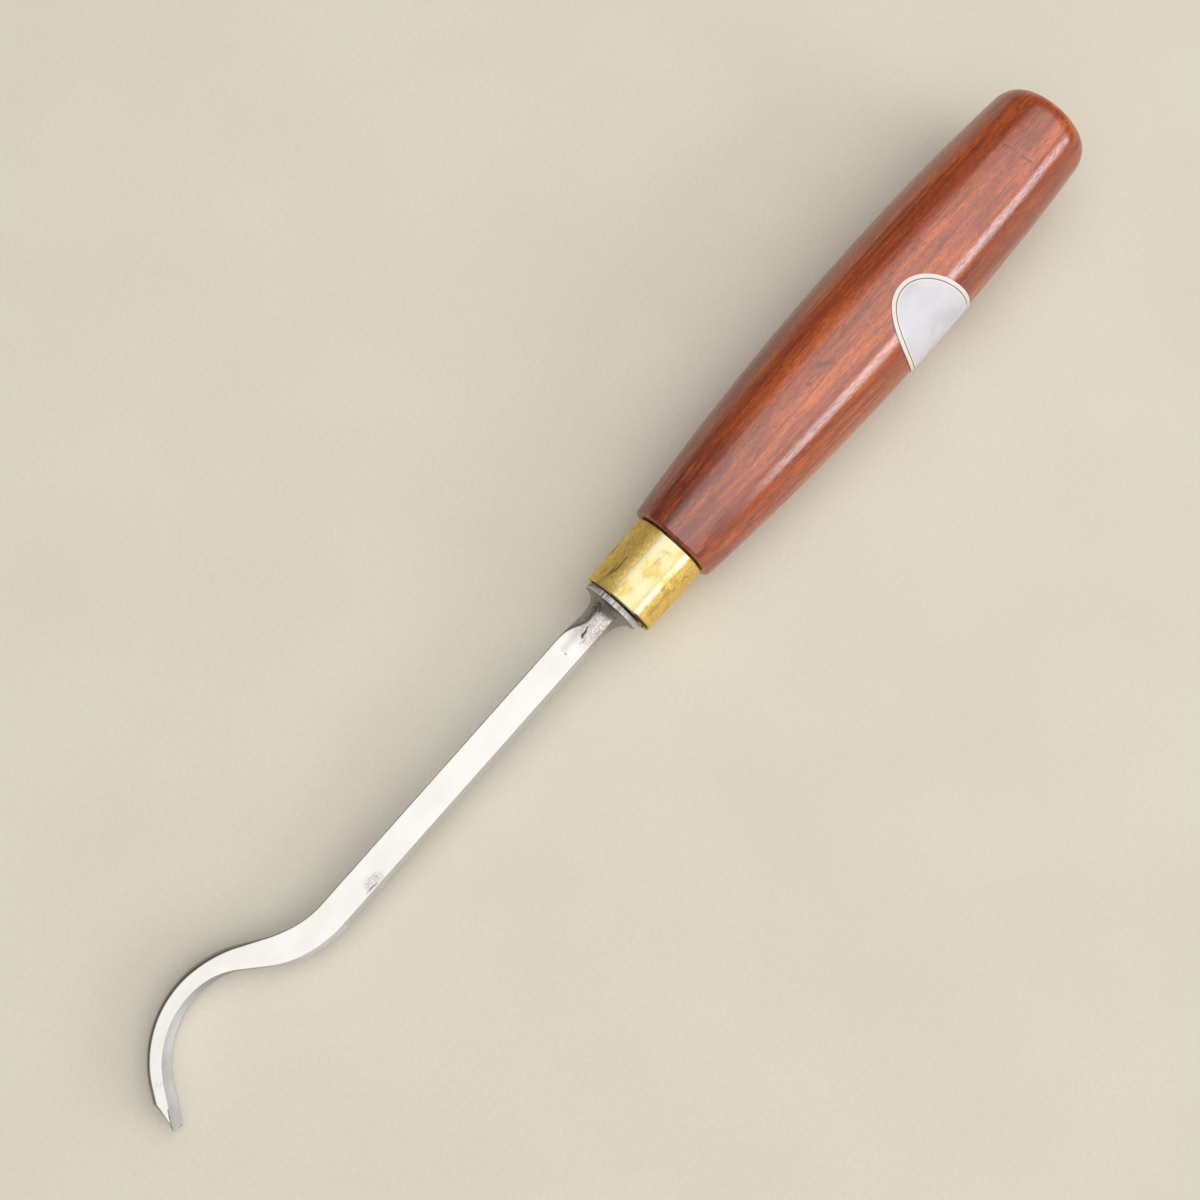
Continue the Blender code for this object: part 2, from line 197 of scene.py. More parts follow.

# Where the wood darkens: towards its front along X, more so on its +Y side, and towards its two sides along
# Y. All but the darkening along X is painted shade
FRONT_FADE = (0.042, 0.002)
SHADE_SIDE_FADE = (-0.009, 0.004)
OUTER_SHADE_FADE = (0.005, 0.010)
INNER_SHADE_FADE = (-0.005, -0.010)
OUTER_SHADE_DEPTH = 0.44
INNER_SHADE_DEPTH = 0.22

# Roughness of the bare metal, before its marks add to it
STEEL_ROUGHNESS = 0.25
BRASS_ROUGHNESS = 0.48

# Colours, as linear red, green and blue. A pair is the two ends of a mix
BRIGHT_STEEL = ((0.68, 0.67, 0.65), (0.645, 0.63, 0.605))
HONED_STEEL = ((0.57, 0.565, 0.57), (0.66, 0.67, 0.69))
FILED_STEEL = (0.43, 0.37, 0.335)
SHADED_STEEL = (0.215, 0.205, 0.185)
STAINED_AND_SHADED_STEEL = (0.14, 0.10, 0.085)
FILE_LINES = (0.20, 0.19, 0.185)
PITTED_STEEL = (0.035, 0.030, 0.026)
HIGHLIGHT_BRASS = ((0.64, 0.59, 0.37), (0.65, 0.545, 0.26))
SIDE_BRASS = ((0.93, 0.67, 0.20), (0.99, 0.76, 0.28))
SPECKED_BRASS = (0.46, 0.33, 0.11)
DIMMED_BRASS = (0.62, 0.45, 0.15)
TARNISH_AND_SHADE_BRASS = (0.13, 0.085, 0.035)
BANDED_WOOD = ((0.37, 0.056, 0.0048), (0.60, 0.118, 0.011))
STRIPED_WOOD = (0.17, 0.021, 0.003)
FRONT_WOOD = (0.155, 0.017, 0.003)
SIDE_SHADE_WOOD = (0.11, 0.006, 0.001)
WOOD_PORES = (0.07, 0.012, 0.004)
WOOD_NICKS_AND_SHADE = (0.030, 0.012, 0.008)
MOTTLE_TINTS = ((0.88, 0.85, 0.83), (1.09, 1.12, 1.13))
FIBRE_TINTS = ((0.76, 0.70, 0.66), (1.18, 1.22, 1.24))
FOIL_FIELD = ((0.70, 0.68, 0.73), (0.62, 0.60, 0.65))
FOIL_BORDER = (0.78, 0.74, 0.70)
FOIL_LINE = (0.20, 0.10, 0.075)
BOARD_PAINT = ((0.684, 0.635, 0.538), (0.709, 0.663, 0.565))
BOARD_TINTS = ((0.98, 0.98, 0.98), (1.02, 1.02, 1.02))

# Camera, set where the photograph was taken from
CAMERA_PLACE = Vector((-0.05358, -0.04388, 0.35308))
CAMERA_AIM = Vector((-0.00275, 0.00191, 0.0100))
CAMERA_ROLL = math.radians(-0.553)
CAMERA_LENS = 54.0
CAMERA_SENSOR = 36.0
CAMERA_CLIP = 0.01

# Light: a soft panel overhead, a window low on the -Y side, and the room
PANEL_HEIGHT = 0.80
PANEL_REACH_X = (-0.60, 1.00)
PANEL_REACH_Y = (-0.90, 0.46)
PANEL_RADIANCE = 0.675
PANEL_COLOUR = (1.0, 0.985, 0.965)
WINDOW_DISTANCE = 2.40
WINDOW_LOW = math.radians(17.0)
WINDOW_HIGH = math.radians(32.0)
WINDOW_REACH_X = (0.18, 1.78)
WINDOW_RADIANCE = 4.8
WINDOW_COLOUR = (0.96, 0.98, 1.0)
ROOM_LOW = (0.165, 0.162, 0.158)
ROOM_HIGH = (0.97, 0.96, 0.943)
ROOM_BRIGHT_SIDE = (0.0, -0.335, 0.942)
ROOM_FADE = (0.31, 0.91)
FLOOR_SIZE = 8.0


def clamp(value):
    return min(max(value, 0.0), 1.0)


def ease(start, end, value):
    """Smooth step from 0 at start to 1 at end."""
    share = clamp((value - start) / (end - start))
    return share * share * (3.0 - 2.0 * share)


def mix(first, second, share):
    return first + (second - first) * share


def spread(start, end, step):
    """Evenly spaced values after start, up to end, no further apart than step."""
    count = max(1, math.ceil((end - start) / step))
    return [mix(start, end, (i + 1) / count) for i in range(count)]


def quarter_round(size):
    """Steps round a quarter turn, as pairs: one side grows from 0 to size while the other shrinks to 0."""
    turns = spread(0.0, math.pi / 2, ROUNDING_STEP)
    return [(size * (1 - math.cos(turn)), size * (1 - math.sin(turn))) for turn in turns]


def ripple(point, length):
    """Smooth noise between -1 and 1 whose bumps are about this long."""
    return noise.noise(Vector(point) / length)


def tool_frame():
    """The tool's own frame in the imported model, from the shank's upper flat and the ferrule."""
    mounts = {mount["name"]: mount for mount in frame["record"]["mounts"]}
    up = Vector(mounts["shank_upper_flat"]["axis"]).normalized()
    along = Vector((0.0, 1.0, 0.0)).cross(up).normalized()
    places = {vertex.co.copy().freeze() for vertex in frame["nodes"]["ferrule"].data.vertices}
    middle = sum(places, Vector()) / len(places)
    rear = max((place - middle).dot(along) for place in places)
    turn = Matrix((along, up.cross(along), up)).transposed()
    return Matrix.Translation(middle + (rear + SEAT_GAP) * along) @ turn.to_4x4()


TOOL = tool_frame()


def skin(rows):
    """Points and faces over a list of rings. A ring of one point closes an end."""
    points = [point for row in rows for point in row]
    faces = []
    start = 0
    for row, following in zip(rows, rows[1:]):
        after = start + len(row)
        count = max(len(row), len(following))
        for i in range(count):
            j = (i + 1) % count
            near = (start + i % len(row), start + j % len(row))
            far = (after + j % len(following), after + i % len(following))
            faces.append(tuple(dict.fromkeys(near + far)))
        start = after
    return points, faces


def add_piece(name, rows, material, node):
    """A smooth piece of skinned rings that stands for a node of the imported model."""
    points, faces = skin(rows)
    mesh = bpy.data.meshes.new(name)
    mesh.from_pydata(points, [], faces)
    bm = bmesh.new()
    bm.from_mesh(mesh)
    bmesh.ops.recalc_face_normals(bm, faces=bm.faces)
    if bm.calc_volume(signed=True) < 0.0:
        bmesh.ops.reverse_faces(bm, faces=bm.faces)
    bm.to_mesh(mesh)
    bm.free()
    mesh.shade_smooth()
    mesh.set_sharp_from_angle(angle=SHARP_ANGLE)
    mesh.materials.append(material)
    piece = bpy.data.objects.new(name, mesh)
    bpy.context.scene.collection.objects.link(piece)
    piece.matrix_world = TOOL
    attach(piece, "root")
    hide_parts(node)
    return piece


def paint(piece, name, values):
    """Store one number for each point of a piece, for its material to read."""
    layer = piece.data.attributes.new(name, "FLOAT", "POINT")
    layer.data.foreach_set("value", values)


def turned_ring(x, radius, offset=None):
    """One ring round the tool's axis; offset gives how far each point stands out."""
    if radius <= 0.0:
        return [(x, 0.0, 0.0)]
    ring = []
    for i in range(TURNED_STEPS):
        angle = math.tau * i / TURNED_STEPS
        place = (x, -radius * math.sin(angle), radius * math.cos(angle))
        reach = 1.0 + (offset(place) / radius if offset else 0.0)
        ring.append((x, place[1] * reach, place[2] * reach))
    return ring


# Node helpers


class Nodes:
    """A node tree in the making."""

    def __init__(self, tree):
        self.tree = tree

    def node(self, kind, inputs=None, **settings):
        """New node. Each input takes a value, or the output of another node."""
        item = self.tree.nodes.new(kind)
        for name, value in settings.items():
            setattr(item, name, value)
        for socket, value in (inputs or {}).items():
            self.fill(item.inputs[socket], value)
        return item

    def fill(self, socket, value):
        if isinstance(value, bpy.types.NodeSocket):
            self.tree.links.new(value, socket)
        elif socket.type == "RGBA":
            socket.default_value = (*value, 1.0)
        else:
            socket.default_value = value

    def math(self, operation, first, second, third=0.0):
        item = self.node("ShaderNodeMath", {0: first, 1: second, 2: third}, operation=operation)
        return item.outputs[0]

    def raised(self, start, parts):
        """A value raised by shares, each of them times its own amount."""
        total = start
        for share, amount in parts:
            total = self.math("MULTIPLY_ADD", share, amount, total)
        return total

    def mix(self, share, first, second, blend="MIX"):
        """Two colours mixed by a share from 0 to 1."""
        sockets = {0: share, 6: first, 7: second}
        return self.node("ShaderNodeMix", sockets, data_type="RGBA", blend_type=blend).outputs[2]

    def tinted(self, colour, tint):
        return self.mix(1.0, colour, tint, "MULTIPLY")

    def ramp(self, value, start, end):
        """0 at start and 1 at end, smooth between, whichever of the two is higher."""
        sockets = {"Value": value, "From Min": start, "From Max": end}
        return self.node("ShaderNodeMapRange", sockets, interpolation_type="SMOOTHSTEP").outputs[0]


class Finish(Nodes):
    """A material in the making, with its nodes linked to its shader."""

    def __init__(self, name):
        self.material = bpy.data.materials.new(name)
        self.material.use_nodes = True
        super().__init__(self.material.node_tree)
        self.shader = self.tree.nodes["Principled BSDF"]
        self.place = self.node("ShaderNodeTexCoord").outputs["Object"]

    def wear(self, sockets):
        """Fill the shader's own sockets, by their names, and give the finished material."""
        for name, value in sockets.items():
            self.fill(self.shader.inputs[name], value)
        return self.material

    def noise(self, along, across, detail=2.0, shift=0.0):
        """Noise whose marks are this long along the tool and this wide across it."""
        scale = (1 / along, 1 / across, 1 / across)
        scaled = self.node(
            "ShaderNodeMapping", {"Vector": self.place, "Location": (shift,) * 3, "Scale": scale}
        )
        sockets = {"Vector": scaled.outputs[0], "Scale": 1.0, "Detail": detail}
        return self.node("ShaderNodeTexNoise", sockets).outputs[0]

    def attribute(self, name):
        return self.node("ShaderNodeAttribute", attribute_name=name).outputs["Fac"]

    def bump(self, height, distance, under=None):
        sockets = {"Height": height, "Distance": distance}
        if under:
            sockets["Normal"] = under
        return self.node("ShaderNodeBump", sockets).outputs[0]


# Materials


def make_steel():
    """Ground steel, filed and darker round the neck, with painted shade on faces turned to +Y, on the flare
    and in the hollow behind the spoon, and with pits, stains, painted shade at the collar's end and file
    marks on the rim.
    """
    steel = Finish("ground_steel")
    pit = steel.attribute("pit")
    filed = steel.attribute("filed")
    stain_and_shade = steel.attribute("stain_and_shade")
    rim = steel.attribute("rim")
    # Painted shade: darker steel on the outer side, the flare and the hollow behind the spoon
    steel_shade = steel.attribute("steel_shade")
    satin = steel.attribute("satin")
    clouds = steel.noise(9 * MM, 5 * MM, detail=4.0)
    grinding = steel.noise(0.12 * MM, 1.6 * MM)
    scratches = steel.noise(0.35 * MM, 0.35 * MM, detail=4.0, shift=3.0)
    file_marks = steel.noise(3 * MM, 0.16 * MM, detail=1.0, shift=7.0)
    bright = steel.mix(steel.ramp(clouds, 0.40, 0.70), *BRIGHT_STEEL)
    honed = steel.mix(steel.ramp(clouds, 0.38, 0.62), *HONED_STEEL)
    rubbed = steel.mix(satin, bright, honed)
    worn_share = steel.math("MULTIPLY", steel.ramp(scratches, 0.36, 0.60), filed)
    worn = steel.mix(worn_share, rubbed, FILED_STEEL)
    darkened = steel.mix(steel_shade, worn, SHADED_STEEL)
    # Real stains on the upper flat, and painted shade at the collar's end
    stain_and_shade_share = steel.math("MULTIPLY", steel.ramp(scratches, 0.36, 0.58), stain_and_shade)
    stained_and_shaded = steel.mix(stain_and_shade_share, darkened, STAINED_AND_SHADED_STEEL)
    lined_share = steel.math("MULTIPLY", steel.ramp(file_marks, 0.52, 0.40), rim)
    lined = steel.mix(lined_share, stained_and_shaded, FILE_LINES)
    pitted_share = steel.math("MULTIPLY", steel.ramp(scratches, 0.68, 0.46), pit)
    colour = steel.mix(pitted_share, lined, PITTED_STEEL)
    roughening = ((grinding, 0.14), (filed, 0.10), (rim, 0.15), (satin, 0.22), (pit, 0.35))
    roughness = steel.raised(STEEL_ROUGHNESS, roughening)
    metallic = steel.raised(1.0, ((satin, -0.8),))
    ground = steel.bump(grinding, 0.0025 * MM)
    scratched = steel.bump(steel.math("MULTIPLY", scratches, filed), 0.020 * MM, ground)
    ribbed = steel.bump(steel.math("MULTIPLY", file_marks, rim), 0.030 * MM, scratched)
    return steel.wear({
        "Base Color": colour,
        "Roughness": roughness,
        "Metallic": metallic,
        "Normal": ribbed,
    })


def make_brass():
    """Drawn brass tube with a painted highlight along its top in paler, smoother brass, tarnished in
    patches and dull down its sides, with painted shade at its front end.
    """
    brass = Finish("tarnished_brass")
    clouds = brass.noise(4 * MM, 3 * MM, detail=5.0)
    scratches = brass.noise(3 * MM, 0.16 * MM, detail=3.0, shift=5.0)
    hoops = brass.noise(0.10 * MM, 4 * MM)
    specks = brass.noise(0.8 * MM, 0.25 * MM, detail=3.0, shift=11.0)
    # The rubbed share is a painted highlight along the top: paler brass there, and lighter side brass
    # beside it
    rubbed = brass.attribute("rubbed")
    bright = brass.ramp(rubbed, 0.80, 0.98)
    # Tarnish, and painted shade at the front end beside the collar
    tarnish_and_shade = brass.attribute("tarnish_and_shade")
    patches = brass.math("MULTIPLY", brass.ramp(clouds, 0.53, 0.64), brass.ramp(scratches, 0.32, 0.56))
    streaks = brass.math("MULTIPLY", tarnish_and_shade, brass.ramp(scratches, 0.34, 0.58))
    dirt_and_shade = brass.math("MAXIMUM", streaks, brass.ramp(tarnish_and_shade, 0.76, 1.0))
    pale = brass.mix(brass.ramp(clouds, 0.35, 0.65), *HIGHLIGHT_BRASS)
    side = brass.mix(brass.ramp(rubbed, 0.05, 0.60), *SIDE_BRASS)
    specked_share = brass.math("MULTIPLY", brass.ramp(specks, 0.56, 0.34), 0.60)
    specked = brass.mix(specked_share, side, SPECKED_BRASS)
    clean = brass.mix(bright, specked, pale)
    dimmed = brass.mix(patches, clean, DIMMED_BRASS)
    colour = brass.mix(dirt_and_shade, dimmed, TARNISH_AND_SHADE_BRASS)
    roughening = ((clouds, 0.20), (bright, -0.34), (patches, 0.16), (tarnish_and_shade, 0.15))
    roughness = brass.raised(BRASS_ROUGHNESS, roughening)
    drawn = brass.bump(scratches, 0.006 * MM)
    turned = brass.bump(hoops, 0.001 * MM, drawn)
    return brass.wear({
        "Base Color": colour,
        "Roughness": roughness,
        "Metallic": 1.0,
        "Normal": turned,
    })


def make_wood():
    """Red-brown hardwood under a clear varnish, streaked, darker to its front, with painted shade down its
    sides, on the +Y side of its front and over the tenon.
    """
    wood = Finish("varnished_hardwood")
    axes = wood.node("ShaderNodeSeparateXYZ", {0: wood.place})
    along = axes.outputs["X"]
    aside = axes.outputs["Y"]
    bands = wood.noise(60 * MM, 3.5 * MM, detail=3.0)
    stripes = wood.noise(20 * MM, 0.8 * MM, detail=3.0, shift=2.0)
    mottle = wood.noise(4 * MM, 2 * MM, detail=3.0, shift=9.0)
    fibres = wood.noise(1.4 * MM, 0.20 * MM, detail=3.0, shift=4.0)
    pores = wood.noise(1.5 * MM, 0.22 * MM, shift=6.0)
    blotches = wood.noise(11 * MM, 1.1 * MM, detail=5.0, shift=12.0)
    base = wood.mix(wood.ramp(bands, 0.34, 0.66), *BANDED_WOOD)
    striped_share = wood.math("MULTIPLY", wood.ramp(stripes, 0.54, 0.36), 0.55)
    striped = wood.mix(striped_share, base, STRIPED_WOOD)
    # Painted shade: the front darkens more towards +Y
    shade_side = wood.raised(0.4, ((wood.ramp(aside, *SHADE_SIDE_FADE), 0.6),))
    front_share = wood.math("MULTIPLY", wood.ramp(along, *FRONT_FADE), shade_side)
    dark_share = wood.math("MULTIPLY", front_share, wood.ramp(blotches, 0.66, 0.40))
    streaked = wood.mix(dark_share, striped, FRONT_WOOD)
    mottled = wood.mix(wood.ramp(mottle, 0.30, 0.70), *MOTTLE_TINTS)
    fibred = wood.mix(wood.ramp(fibres, 0.30, 0.70), *FIBRE_TINTS)
    grained = wood.tinted(wood.tinted(streaked, mottled), fibred)
    # Painted shade down both sides, deeper on the +Y side
    outer_shade = wood.math("MULTIPLY", wood.ramp(aside, *OUTER_SHADE_FADE), OUTER_SHADE_DEPTH)
    inner_shade = wood.math("MULTIPLY", wood.ramp(aside, *INNER_SHADE_FADE), INNER_SHADE_DEPTH)
    side_shaded = wood.mix(wood.math("ADD", outer_shade, inner_shade), grained, SIDE_SHADE_WOOD)
    pore = wood.ramp(pores, 0.43, 0.33)
    pored = wood.mix(wood.math("MULTIPLY", pore, 0.6), side_shaded, WOOD_PORES)
    # Nicks, and painted shade over the tenon
    colour = wood.mix(wood.attribute("nick_and_shade"), pored, WOOD_NICKS_AND_SHADE)
    grain = wood.bump(fibres, 0.008 * MM)
    pitted = wood.bump(pore, -0.010 * MM, grain)
    return wood.wear({
        "Base Color": colour,
        "Roughness": 0.5,
        "Specular IOR Level": 0.0,
        "Coat Weight": 1.0,
        "Coat Roughness": 0.17,
        "Coat IOR": 1.92,
        "Normal": pitted,
        "Coat Normal": pitted,
    })


def make_foil():
    """Silvery label with a pale border and a thin brown line inside it."""
    foil = Finish("label_foil")
    depth = foil.attribute("depth")
    clouds = foil.noise(5 * MM, 5 * MM, detail=4.0)
    field = foil.mix(foil.ramp(clouds, 0.35, 0.70), *FOIL_FIELD)
    line_end = LABEL_BORDER + LABEL_LINE
    inner_end = line_end + LABEL_LINE
    inside = foil.ramp(depth, inner_end, inner_end + LABEL_BLUR)
    bordered = foil.mix(inside, FOIL_BORDER, field)
    line = foil.math(
        "MULTIPLY",
        foil.ramp(depth, LABEL_BORDER, LABEL_BORDER + LABEL_BLUR),
        foil.ramp(depth, line_end, line_end - LABEL_BLUR),
    )
    colour = foil.mix(line, bordered, FOIL_LINE)
    return foil.wear({
        "Base Color": colour,
        "Roughness": 0.55,
        "Specular IOR Level": 0.4,
        "Normal": foil.bump(clouds, 0.02 * MM),
    })


def make_board():
    """Pale painted board, faintly mottled."""
    board = Finish("pale_board")
    clouds = board.noise(40 * MM, 40 * MM, detail=5.0)
    grain = board.noise(0.9 * MM, 0.9 * MM, detail=3.0)
    tint = board.mix(board.ramp(clouds, 0.30, 0.70), *BOARD_PAINT)
    speckle = board.mix(board.ramp(grain, 0.30, 0.72), *BOARD_TINTS)
    return board.wear({
        "Base Color": board.tinted(tint, speckle),
        "Roughness": 0.75,
        "Specular IOR Level": 0.25,
        "Normal": board.bump(grain, 0.01 * MM),
    })


# Marks


def stroke_share(point, strokes):
    """How deep in a drawn stroke a point lies: its strength on the line, 0 past its edges."""
    deepest = 0.0
    for corners, half_width, strength in strokes:
        core, edge = (half_width * share for share in STROKE_FADE)
        for first, second in zip(corners, corners[1:]):
            start = Vector(first)
            run = Vector(second) - start
            share = clamp((point - start).dot(run) / run.length_squared)
            distance = (point - start - share * run).length
            deepest = max(deepest, strength * (1.0 - ease(core, edge, distance)))
    return deepest


def round_the_tool(point):
    """Place along the tool, and angle in degrees from its top towards -Y."""
    return Vector((point[0], math.degrees(math.atan2(-point[1], point[2])) * DEGREE_LENGTH))


def at_angles(strokes):
    """Strokes given as (X, degrees), with the degrees turned to lengths like those of round_the_tool."""
    return [
        ([(x, degrees * DEGREE_LENGTH) for x, degrees in corners], half_width, strength)
        for corners, half_width, strength in strokes
    ]


# Each stroke is its corners, its half width and its strength. The corners on the handle, ferrule and collar
# are X and degrees. Those on the blade's upper flat are the distance from the collar's back, and Y
HANDLE_NICKS = at_angles((
    (((0.1006, -8.0), (0.1011, 5.0)), 0.00020, 0.6),
    (((0.1010, 15.0), (0.1016, 26.0)), 0.00022, 0.7),
    (((0.0386, 6.0), (0.0392, 7.4)), 0.00024, 0.7),
    (((0.0428, 3.0), (0.0436, 4.4)), 0.00030, 0.6),
    (((0.0440, 5.6), (0.0444, 6.6)), 0.00024, 0.6),
))
FERRULE_MARKS_AND_SHADE = at_angles((
    # The first stroke is painted shade: the ferrule's front end beside the collar, towards -Y
    (((-0.0158, 38.0), (-0.0158, 80.0)), 0.00040, 1.0),
    (((-0.0128, -29.2), (-0.0108, -28.4), (-0.0084, -26.8)), 0.00019, 0.95),
    (((-0.0142, -33.4), (-0.0124, -32.0), (-0.0104, -31.2)), 0.00014, 0.80),
    (((-0.0120, -25.8), (-0.0110, -25.6), (-0.0098, -25.0)), 0.00012, 0.75),
    (((-0.0137, -46.0), (-0.0125, -43.5)), 0.00022, 0.6),
    (((-0.0098, -66.0), (-0.0085, -62.0)), 0.00030, 0.6),
    (((-0.0028, -59.0), (-0.0020, -55.0)), 0.00030, 0.6),
    (((-0.0031, 8.0), (-0.0027, 17.0)), 0.00040, 0.35),
    (((-0.0058, 9.0), (-0.0050, 12.0)), 0.00060, 0.25),
    (((-0.0040, 60.0), (-0.0030, 66.0)), 0.00030, 0.5),
))
BLADE_PITS = (
    (((0.0070, 0.0011), (0.0076, 0.0009)), 0.00012, 0.8),
    (((0.0076, 0.0009), (0.0081, 0.0007), (0.0086, 0.0007)), 0.00019, 1.0),
    (((0.0088, 0.0008), (0.0092, 0.0005)), 0.00026, 1.0),
    (((0.0092, -0.0001), (0.0097, -0.0003), (0.0104, 0.0001)), 0.00010, 0.6),
    (((0.0020, 0.0023), (0.0026, 0.0016)), 0.00022, 0.9),
    (((0.0026, 0.0016), (0.0035, 0.0013)), 0.00014, 0.8),
    (((0.0698, -0.00140), (0.0711, -0.00122), (0.0719, -0.00117)), 0.00013, 0.8),
    (((0.0722, -0.00116), (0.0728, -0.00112)), 0.00008, 0.6),
    (((0.1264, -0.0003), (0.1273, -0.0016), (0.1283, -0.0032)), 0.00012, 0.7),
)
BLADE_STAINS = (
    (((0.0688, -0.0008), (0.0700, -0.0002), (0.0714, -0.0004)), 0.0009, 0.40),
    (((0.0022, 0.0030), (0.0032, 0.0022)), 0.00070, 0.70),
    (((0.1240, 0.0038), (0.1244, 0.0042)), 0.00050, 0.20),
)
COLLAR_SHADE = at_angles((
    # Painted shade at the collar's +Y end, next to the ferrule
    (((-0.0169, -88.0), (-0.0163, -42.0)), 0.00045, 1.0),
))


# Handle


def handle_radius(x):
    """Radius of the turned handle at x, before its ends are rounded."""
    belly = HANDLE_BELLY_DIAMETER / 2
    if x < HANDLE_BELLY_START:
        share = (HANDLE_BELLY_START - x) / HANDLE_BELLY_START
        return belly - (belly - HANDLE_SHOULDER_DIAMETER / 2) * share**2
    share = max(x - HANDLE_BELLY_END, 0.0) / (HANDLE_LENGTH - HANDLE_BELLY_END)
    return belly - (belly - HANDLE_BUTT_DIAMETER / 2) * share**2


def handle_profile():
    """Outline from the bottom of the tang hole, over the tenon and the shoulder, to the butt."""
    hole = TANG_ROOT_WIDTH * math.sqrt(0.5) + FIT_GAP
    hole_end = COLLAR_BACK + TANG_LENGTH + SEAT_GAP
    profile = [(hole_end, 0.0), (hole_end, hole), (TENON_FRONT, hole), (TENON_FRONT, TENON_RADIUS)]
    profile.append((0.0, TENON_RADIUS))
    front = handle_radius(SHOULDER_ROUNDING)
    profile.append((0.0, front - SHOULDER_ROUNDING))
    profile += [(grown, front - shrunk) for grown, shrunk in quarter_round(SHOULDER_ROUNDING)]
    rounding_start = HANDLE_LENGTH - BUTT_DOME - BUTT_ROUNDING_LENGTH
    profile += [(x, handle_radius(x)) for x in spread(SHOULDER_ROUNDING, rounding_start, ROW_LENGTH)]
    for turn in spread(0.0, BUTT_ROUNDING_TURN, ROUNDING_STEP):
        x = rounding_start + BUTT_ROUNDING_LENGTH * math.sin(turn)
        profile.append((x, handle_radius(x) - BUTT_ROUNDING_DEPTH * (1 - math.cos(turn))))
    dome_x, dome_radius = profile[-1]
    for inset in spread(0.0, dome_radius, ROW_LENGTH):
        radius = dome_radius - inset
        profile.append((mix(HANDLE_LENGTH, dome_x, (radius / dome_radius) ** 2), radius))
    return profile


def handle_offset(place):
    """How far the worn wood stands out from the turned shape."""
    wear = HANDLE_WEAR * (0.5 + 0.5 * ripple(place, HANDLE_WEAR_LENGTH))
    return -wear - NICK_DEPTH * stroke_share(round_the_tool(place), HANDLE_NICKS)


def nick_and_shade_share(point):
    """How dark the wood is painted: dark in its nicks, and painted shade all over the tenon in the ferrule.
    """
    # Painted shade over the whole tenon, inside the ferrule
    if point[0] < 0.0:
        return 1.0
    return stroke_share(round_the_tool(point), HANDLE_NICKS)


def make_handle():
    rows = [turned_ring(x, radius, handle_offset) for x, radius in handle_profile()]
    handle = add_piece("handle_wood", rows, make_wood(), "handle")
    paint(handle, "nick_and_shade", [nick_and_shade_share(vertex.co) for vertex in handle.data.vertices])


# Ferrule


def ferrule_profile():
    """Outline of the tube: bore, front rim, outside and rear rim."""
    front = FERRULE_FRONT_DIAMETER / 2
    rear = FERRULE_REAR_DIAMETER / 2
    soft = FERRULE_ROUNDING
    profile = [(0.0, FERRULE_BORE_RADIUS), (0.0, front - soft)]
    profile += [(grown, front - shrunk) for grown, shrunk in quarter_round(soft)]
    for x in spread(soft, FERRULE_LENGTH - soft, ROW_LENGTH):
        profile.append((x, mix(front, rear, x / FERRULE_LENGTH)))
    profile += [(FERRULE_LENGTH - shrunk, rear - grown) for grown, shrunk in quarter_round(soft)]
    profile.append((FERRULE_LENGTH, FERRULE_BORE_RADIUS))
    profile.append((0.0, FERRULE_BORE_RADIUS))
    return profile


def ferrule_offset(place):
    return FERRULE_DENTS * ripple(place, FERRULE_DENT_LENGTH)


def highlight_band_share(degrees):
    """Rises to 1 along the ferrule's top, where a highlight is painted in paler, smoother brass."""
    return ease(*HIGHLIGHT_BAND_START, degrees) * (1.0 - ease(*HIGHLIGHT_BAND_END, degrees))


def make_ferrule():
    rows = [turned_ring(TENON_FRONT + x, radius, ferrule_offset) for x, radius in ferrule_profile()]
    ferrule = add_piece("ferrule_tube", rows, make_brass(), "ferrule")
    places = [round_the_tool(vertex.co) for vertex in ferrule.data.vertices]
    paint(ferrule, "tarnish_and_shade", [stroke_share(place, FERRULE_MARKS_AND_SHADE) for place in places])
    # The rubbed share paints a highlight along the ferrule's top
    paint(ferrule, "rubbed", [highlight_band_share(place.y / DEGREE_LENGTH) for place in places])


# Blade


def blade_path(s):
    """Place and outward normal, in the XY plane, at distance s along the blade's centre line."""
    bends = (
        (SHANK_LENGTH, 0.0),
        (CROOK_LENGTH, CROOK_ANGLE),
        (LINK_LENGTH, 0.0),
        (SPOON_ARC_LENGTH, -SPOON_ANGLE),
        (math.inf, 0.0),
    )
    place = Vector((COLLAR_BACK, BLADE_OFFSET))
    heading = 0.0
    left = s
    for length, turn in bends:
        run = min(left, length)
        swing = turn * run / length
        # The chord of an arc lies half way between its two headings
        chord = run * math.sin(swing / 2) / (swing / 2) if swing else run
        place += chord * Vector((-math.cos(heading + swing / 2), math.sin(heading + swing / 2)))
        heading += swing
        left -= run
        if left <= 0.0:
            break
    return place, Vector((math.sin(heading), math.cos(heading)))


def blade_thickness(s):
    if s < SPOON_ROOT:
        return mix(SHANK_THICKNESS, SPOON_ROOT_THICKNESS, ease(THINNING_START, SPOON_ROOT, s))
    return mix(SPOON_ROOT_THICKNESS, SPOON_END_THICKNESS, (s - SPOON_ROOT) / (BLADE_END - SPOON_ROOT))


def blade_width(s):
    return mix(SHANK_DEPTH, SPOON_WIDTH, clamp((s - SHANK_LENGTH) / (BLADE_END - SHANK_LENGTH)))


def neck_share(s):
    """1 at the bolster, falling to 0 where the shank is square."""
    return (1 - ease(NECK_START, NECK_LENGTH, s)) ** 2


